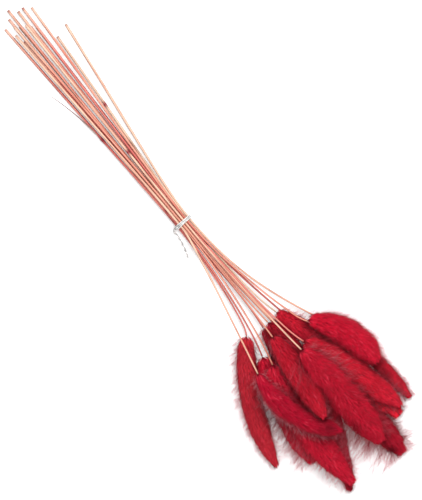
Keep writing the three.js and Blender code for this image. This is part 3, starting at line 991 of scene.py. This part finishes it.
def strawAttributes(rings, sides, along, jointAndBoreShade, cosine, sine, lot):
    # The two last points are the middles of the ends
    lit = stemLook["litSine"]
    return {
        "along": np.append(np.repeat(along, sides), [along[0], along[-1]]),
        "jointAndBoreShade": np.append(np.repeat(jointAndBoreShade, sides), [stemLook["boreFloorShade"], 0]),
        "roundX": np.append(np.tile(cosine, rings), [0, 0]),
        "roundY": np.append(np.tile(sine, rings), [0, 0]),
        "lot": np.full(rings * sides + 2, lot),
        # painted shade low on the sides
        "paintedShade": np.append(np.tile(np.clip((lit - sine) / lit, 0, 1), rings), [0, 0]),
    }


def swollenRings(radii):
    inner = range(1, len(radii) - 1)
    return [i for i in inner if radii[i] > stemLook["jointFrom"] * min(radii[i - 1], radii[i + 1])]


def makeStem(n):
    centres, radii = stems[n]
    random = np.random.default_rng(stemLook["seed"] + int(n))
    knots = lengthsAlong(centres)
    s = np.linspace(0, knots[-1], stemLook["rings"])
    swollen = swollenRings(radii)
    plain = [i for i in range(len(radii)) if i not in swollen]
    if swollen:
        near = knots[swollen[0]] + np.array(stemLook["jointRings"]) * mm
        s = np.unique(np.concatenate([s, near]))
    line = splineThrough(knots, centres, s)
    radius = np.interp(s, knots[plain], radii[plain])
    jointAndBoreShade = np.zeros(len(s))
    if swollen:
        jointAndBoreShade = np.exp(-((s - knots[swollen[0]]) / stemLook["jointLength"]) ** 2)
        radius = radius * (1 + stemLook["jointBulge"] * jointAndBoreShade)
    wobbles = random.normal(0, stemLook["wobble"], stemLook["wobbles"])
    wave = np.interp(s, np.linspace(0, s[-1], stemLook["wobbles"]), wobbles)
    rings, cosine, sine = roundRings(line, radius * (1 + wave), stemLook["sides"])
    # the hollow cut end: the rim turns in to a shallow bore
    rim = line[0] + (rings[0] - line[0]) * stemLook["boreShare"]
    bore = rim + unit(line[1] - line[0]) * stemLook["hollowDepth"]
    rings = np.concatenate([[bore, rim], rings])
    points, faces = closedTube(rings)
    along = np.concatenate([[0, 0], s])
    lot = random.random()
    jointAndBoreShade[0] = stemLook["darkCut"] * random.random()
    # painted shade inside the hollow, in the joint colour
    jointAndBoreShade = np.concatenate([stemLook["boreShade"], jointAndBoreShade])
    attributes = strawAttributes(len(rings), stemLook["sides"], along, jointAndBoreShade, cosine, sine, lot)
    piece = buildPiece(f"straw_stem_{n}", points, faces, attributes, [strawMaterials[strawOf[n]]])
    placePiece(piece, "stem_straw", f"stem_{n}")
    return len(faces)


stemTriangles = [makeStem(n) for n in numbers]
print(f"stems made: {sum(stemTriangles)} triangles")


# The dry leaf sheath that peels off one stem: a narrow strip, rolled in along its edges

sheath = {
    "stem": "05",
    "steps": [(0, 0, 0), (-14, -1.2, 0.2), (-30, -3.2, 1.2), (-46, -8, 2.6)],  # mm, from the joint
    "rings": 40,
    "sides": 12,
    "radius": (0.62 * mm, 0.3 * mm),  # of its roll, at the joint and at the loose end
    "leastRadius": 0.1 * mm,
    "thickness": 0.16 * mm,
    "curl": 0.9 * math.pi,  # how far round it is rolled
    "twist": 1.2,  # how far it turns on its way
    "jointFade": 14,  # how fast the joint's colour fades along it
    "streakLength": 0.05,
    "lot": 0.3,
}


def leaningCurve(steps, u):
    # A curve from the first of four points to the last that leans towards the two between them
    v = 1 - u
    weights = np.stack([v ** 3, 3 * v * v * u, 3 * v * u * u, u ** 3], -1)
    return weights @ np.array(steps, float)


def makeSheath():
    centres, radii = stems[sheath["stem"]]
    root = centres[swollenRings(radii)[0]]
    u = np.linspace(0, 1, sheath["rings"])
    line = root + leaningCurve(sheath["steps"], u) * mm
    left, up = squareTo(unit(np.gradient(line, lengthsAlong(line), axis=0)))
    wide, slim = sheath["radius"]
    # a curled strip: an arc out along its outside and back along its inside
    half = sheath["sides"] // 2
    arc = np.linspace(-0.5, 0.5, half) * sheath["curl"]
    turn = np.concatenate([arc, arc[::-1]])
    thin = np.repeat([0.0, sheath["thickness"]], half)
    roll = sheath["twist"] * u[:, None] + turn[None]
    radius = (wide + (slim - wide) * u)[:, None] - thin[None]
    radius = np.maximum(radius, sheath["leastRadius"])
    out = left[:, None] * np.sin(roll)[..., None] + up[:, None] * np.cos(roll)[..., None]
    points, faces = closedTube(line[:, None] + out * radius[..., None])
    jointAndBoreShade = np.exp(-u * sheath["jointFade"])
    along = u * sheath["streakLength"]
    edge = (np.cos(turn), np.sin(turn))
    attributes = strawAttributes(len(u), sheath["sides"], along, jointAndBoreShade, *edge, sheath["lot"])
    piece = buildPiece("dry_sheath_05", points, faces, attributes, [strawMaterials["sheath"]])
    placePiece(piece, "stem_straw")


makeSheath()
print("sheath made")


# The tie: a white plastic strip with a wire in it, wound twice round the stems and twisted shut

tieLook = {
    "light": srgb(252, 250, 248),
    "dark": srgb(176, 174, 174),
    # painted shade: a grey line along the strip's middle, over the wire's ridge
    "ridgeShadeColor": srgb(138, 138, 136),
    "cloudScale": 420.0,
    "detail": 2.0,
    "clouds": (0.45, 0.65),
    "cloudShare": 0.8,
    "matt": (0.3, 0.7),
    "roughness": (0.3, 0.5),
    "bump": 0.25,
    "bumpHeight": 0.08 * mm,
    "width": 1.75 * mm,
    "tailWidth": 1.5 * mm,
    "pointsAcross": 9,
    "wing": 0.16 * mm,  # how thick the strip is beside its wire
    "wire": 0.42 * mm,
    "wireWidth": 0.28 * mm,
    "start": -0.98 * math.pi,  # the side where both ends come out
    "windings": 2,
    "rings": 150,
    "pitch": 2.0 * mm,
    "lift": 0.1 * mm,  # how far the windings rise and sink over each other
    "liftWaves": 0.5,  # and how often in a turn
    "stray": 0.2 * mm,  # how far they wander along the stems
    "strayWaves": 1.5,
    "knotFrom": (0.8 * mm, 0.6 * mm),  # where the ends cross: past the band, in from the knot's side
    "tailShares": (0.16, 0.4, 0.7, 1.0),
    "ringStep": 0.22 * mm,
    "shortEnd": 5.5 * mm,
    "parting": 3 * mm,  # over which the longer end leaves the shorter one
    "closing": 2 * mm,  # over which the shorter end comes in to the middle
    "pairTurn": 2.6 * mm,  # how far the two ends run for one turn round each other
    "tailTurn": 9 * mm,
    "pairRadius": 0.5 * mm,
}
tieRead = {
    "angles": 73,
    "blur": 0.14,  # radians of the band that one reading takes in
    "reach": 2.2 * mm,  # the knot lies within this of the band's middle, and the tail past it
}


def makeTieMaterial():
    material, tree, shader = newMaterial("tiePlastic")
    place = objectPlace(tree)
    cloud = noiseAt(tree, {"Vector": place, "Scale": tieLook["cloudScale"], "Detail": tieLook["detail"]})
    grey = ramped(tree, cloud, *tieLook["clouds"], 0.0, tieLook["cloudShare"])
    color = mixColors(tree, grey, tieLook["light"], tieLook["dark"])
    setInputs(tree, shader, {
        # painted shade along the ridge
        "Base Color": mixColors(tree, readAttribute(tree, "ridge"), color, tieLook["ridgeShadeColor"]),
        "Roughness": ramped(tree, cloud, *tieLook["matt"], *tieLook["roughness"]),
        "Normal": bumpOf(tree, cloud, tieLook),
    })
    return material


def readTie():
    points = nodePoints("tie")
    values, counts = np.unique(points[:, 0].round(5), return_counts=True)
    sides = np.sort(values[np.argsort(counts)[-2:]])  # the band's two flat sides
    bandX = sides.mean()
    onBand = np.isin(points[:, 0].round(5), sides)
    centre = (points[onBand].max(0) + points[onBand].min(0)) / 2
    offset = points[onBand] - centre
    angle = np.arctan2(offset[:, 2], offset[:, 1])
    turn = np.linspace(-math.pi, math.pi, tieRead["angles"])
    apart = (angle[None] - turn[:, None] + math.pi) % (2 * math.pi) - math.pi
    near = np.exp(-(apart / tieRead["blur"]) ** 2)
    radius = (near * np.hypot(offset[:, 1], offset[:, 2])).sum(1) / near.sum(1)
    tail = points[points[:, 0] > bandX + tieRead["reach"]]
    knot = points[np.abs(points[:, 0] - bandX) < tieRead["reach"]]
    return {
        "x": bandX,
        "centre": centre,
        "turn": turn,
        "radius": radius,
        "bends": [np.polyfit(tail[:, 0] - bandX, tail[:, k], 3) for k in (1, 2)],
        "end": tail[:, 0].max() - bandX,
        "knot": knot[:, 1].min(),
    }


def stripRings(line, wide, thin, width):
    # Rings of a flat strip with a raised wire along its middle
    across = tieLook["pointsAcross"]
    t = np.concatenate([np.linspace(-1, 1, across), np.linspace(1, -1, across)])
    side = np.repeat([1.0, -1.0], across)
    ridge = np.exp(-(t * width / 2 / tieLook["wireWidth"]) ** 2)
    half = (tieLook["wing"] + (tieLook["wire"] - tieLook["wing"]) * ridge) / 2 * side
    rings = line[:, None] + wide[:, None] * (t * width / 2)[None, :, None]
    return rings + thin[:, None] * half[None, :, None], ridge


def windStrip(tie):
    # The windings, and the point where their ends come out
    start = tieLook["start"]
    turn = np.linspace(0, 2 * math.pi * tieLook["windings"], tieLook["rings"]) + start
    share = (turn - start) / (turn[-1] - start)
    wrapped = (turn + math.pi) % (2 * math.pi) - math.pi
    lift = tieLook["lift"] * np.sin(turn * tieLook["liftWaves"])
    radius = np.interp(wrapped, tie["turn"], tie["radius"]) + lift
    thin = np.stack([0 * turn, np.cos(turn), np.sin(turn)], -1)
    line = tie["centre"] + thin * radius[:, None]
    stray = tieLook["stray"] * np.sin(turn * tieLook["strayWaves"])
    line[:, 0] = tie["x"] + (share - 0.5) * tieLook["pitch"] + stray
    wide = np.tile([1.0, 0.0, 0.0], (len(turn), 1))
    exitPoint = tie["centre"] + thin[0] * tie["radius"][0]
    return stripRings(line, wide, thin, tieLook["width"]), exitPoint


def twistEnds(tie, exitPoint):
    # Both ends leave the band together, and the longer one runs on along the tail's path
    at = np.array(tieLook["tailShares"]) * tie["end"]
    beyond = np.stack([tie["x"] + at, *[np.polyval(bend, at) for bend in tie["bends"]]], -1)
    knotX, knotY = tieLook["knotFrom"]
    knots = np.vstack([exitPoint, [tie["x"] + knotX, tie["knot"] + knotY, exitPoint[2]], beyond])
    places = lengthsAlong(knots)
    strips = []
    for phase, length in ((0.0, tieLook["shortEnd"]), (math.pi, places[-1])):
        s = np.linspace(0, length, int(length / tieLook["ringStep"]))
        axis = splineThrough(places, knots, s)
        left, up = squareTo(unit(np.gradient(axis, s, axis=0)))
        pair = np.clip((tieLook["shortEnd"] - s) / tieLook["parting"], 0, 1)
        turns = pair / tieLook["pairTurn"] + (1 - pair) / tieLook["tailTurn"]
        angle = (np.cumsum(np.gradient(s) * turns) * 2 * math.pi + phase)[:, None]
        out = left * np.cos(angle) + up * np.sin(angle)
        side = up * np.cos(angle) - left * np.sin(angle)
        closeIn = np.clip((length - s) / tieLook["closing"], 0, 1) if phase == 0 else pair
        centreLine = axis + out * (tieLook["pairRadius"] * closeIn)[:, None]
        strips.append(stripRings(centreLine, side, out, tieLook["tailWidth"]))
    return strips


def makeTie():
    tie = readTie()
    band, exitPoint = windStrip(tie)
    strips = [band, *twistEnds(tie, exitPoint)]
    points, faces = joined([closedTube(rings) for rings, _ in strips])
    ridge = np.concatenate([np.append(np.tile(r, len(rings)), [0, 0]) for rings, r in strips])
    points[:, 2] = np.maximum(points[:, 2], floorGap)
    piece = buildPiece("twist_tie", points, faces, {"ridge": ridge}, [makeTieMaterial()])
    placePiece(piece, "tie_white", "tie")
    return len(faces)


print(f"tie made: {makeTie()} triangles")


# Floor, light and camera

picture = {
    "width": 422,
    "height": 500,
    "pixel": 0.7 * mm,  # what one pixel shows, at the surface
    "tie": (183.0, 222.0),  # the pixel where the middle of the band is seen
    "turn": 50.4,  # how far the bunch is turned in the picture, degrees
    "distance": 5.0,
    "sensor": 36.0,
    "nearest": 0.01,
    "furthest": 30.0,
}
studio = {
    "world": 0.42,
    "keyPower": 18.0,
    "keySize": 0.8,
    "keyPlace": (0.15, 0.3, 1.3),  # to the picture's right, to its top, and up
}
floorLook = {
    "size": 12,
    "below": 0.1 * mm,  # how far under Z = 0 it lies
    "colors": (srgb(246, 245, 245), srgb(249, 248, 248)),
    "noiseScale": 3.0,
    "noiseDetail": 3.0,
    "roughness": 0.9,
    "specular": 0.1,
    "glow": 0.3,  # light that the camera alone sees in the floor, so that its shade stays pale
}
white = (1, 1, 1, 1)


def pictureAxes():
    turn = math.radians(picture["turn"])
    right = Vector((math.cos(turn), math.sin(turn), 0))
    top = Vector((-math.sin(turn), math.cos(turn), 0))
    return turn, right, top


def makeFloor():
    bpy.ops.mesh.primitive_plane_add(size=floorLook["size"], location=(0, 0, -floorLook["below"]))
    floor = bpy.context.object
    floor.name = "floor"
    material, tree, shader = newMaterial("paleFloor")
    noise = noiseAt(tree, {"Scale": floorLook["noiseScale"], "Detail": floorLook["noiseDetail"]})
    seen = addNode(tree, "ShaderNodeLightPath", {})["Is Camera Ray"]
    setInputs(tree, shader, {
        "Base Color": mixColors(tree, noise, *floorLook["colors"]),
        "Roughness": floorLook["roughness"],
        "Specular IOR Level": floorLook["specular"],
        "Emission Color": white,
        "Emission Strength": times(tree, seen, floorLook["glow"]),
    })
    floor.data.materials.append(material)


def makeLight():
    world = bpy.data.worlds.new("softWorld")
    world.use_nodes = True
    sky = {"Color": white, "Strength": studio["world"]}
    setInputs(world.node_tree, world.node_tree.nodes["Background"], sky)
    bpy.context.scene.world = world
    _, right, top = pictureAxes()
    x, y, z = studio["keyPlace"]
    place = right * x + top * y + Vector((0, 0, z))
    lamp = bpy.data.lights.new("key", "AREA")
    lamp.energy = studio["keyPower"]
    lamp.size = studio["keySize"]
    key = addObject("key", lamp)
    key.location = place
    key.rotation_mode = "QUATERNION"
    key.rotation_quaternion = place.to_track_quat("Z", "Y")


def makeCamera():
    turn, right, top = pictureAxes()
    band = readTie()
    across = (picture["width"] / 2 - picture["tie"][0]) * picture["pixel"]
    along = (picture["height"] / 2 - picture["tie"][1]) * picture["pixel"]
    data = bpy.data.cameras.new("camera")
    data.sensor_width = picture["sensor"]
    data.lens = picture["sensor"] * picture["distance"] / (picture["height"] * picture["pixel"])
    data.clip_start = picture["nearest"]
    data.clip_end = picture["furthest"]
    camera = addObject("camera", data)
    middle = Vector((band["x"], band["centre"][1], picture["distance"]))
    camera.location = middle + right * across - top * along
    camera.rotation_euler = (0, 0, turn)
    bpy.context.scene.camera = camera


makeFloor()
makeLight()
makeCamera()
bpy.context.scene.view_settings.view_transform = "Standard"
print("floor, light and camera set")
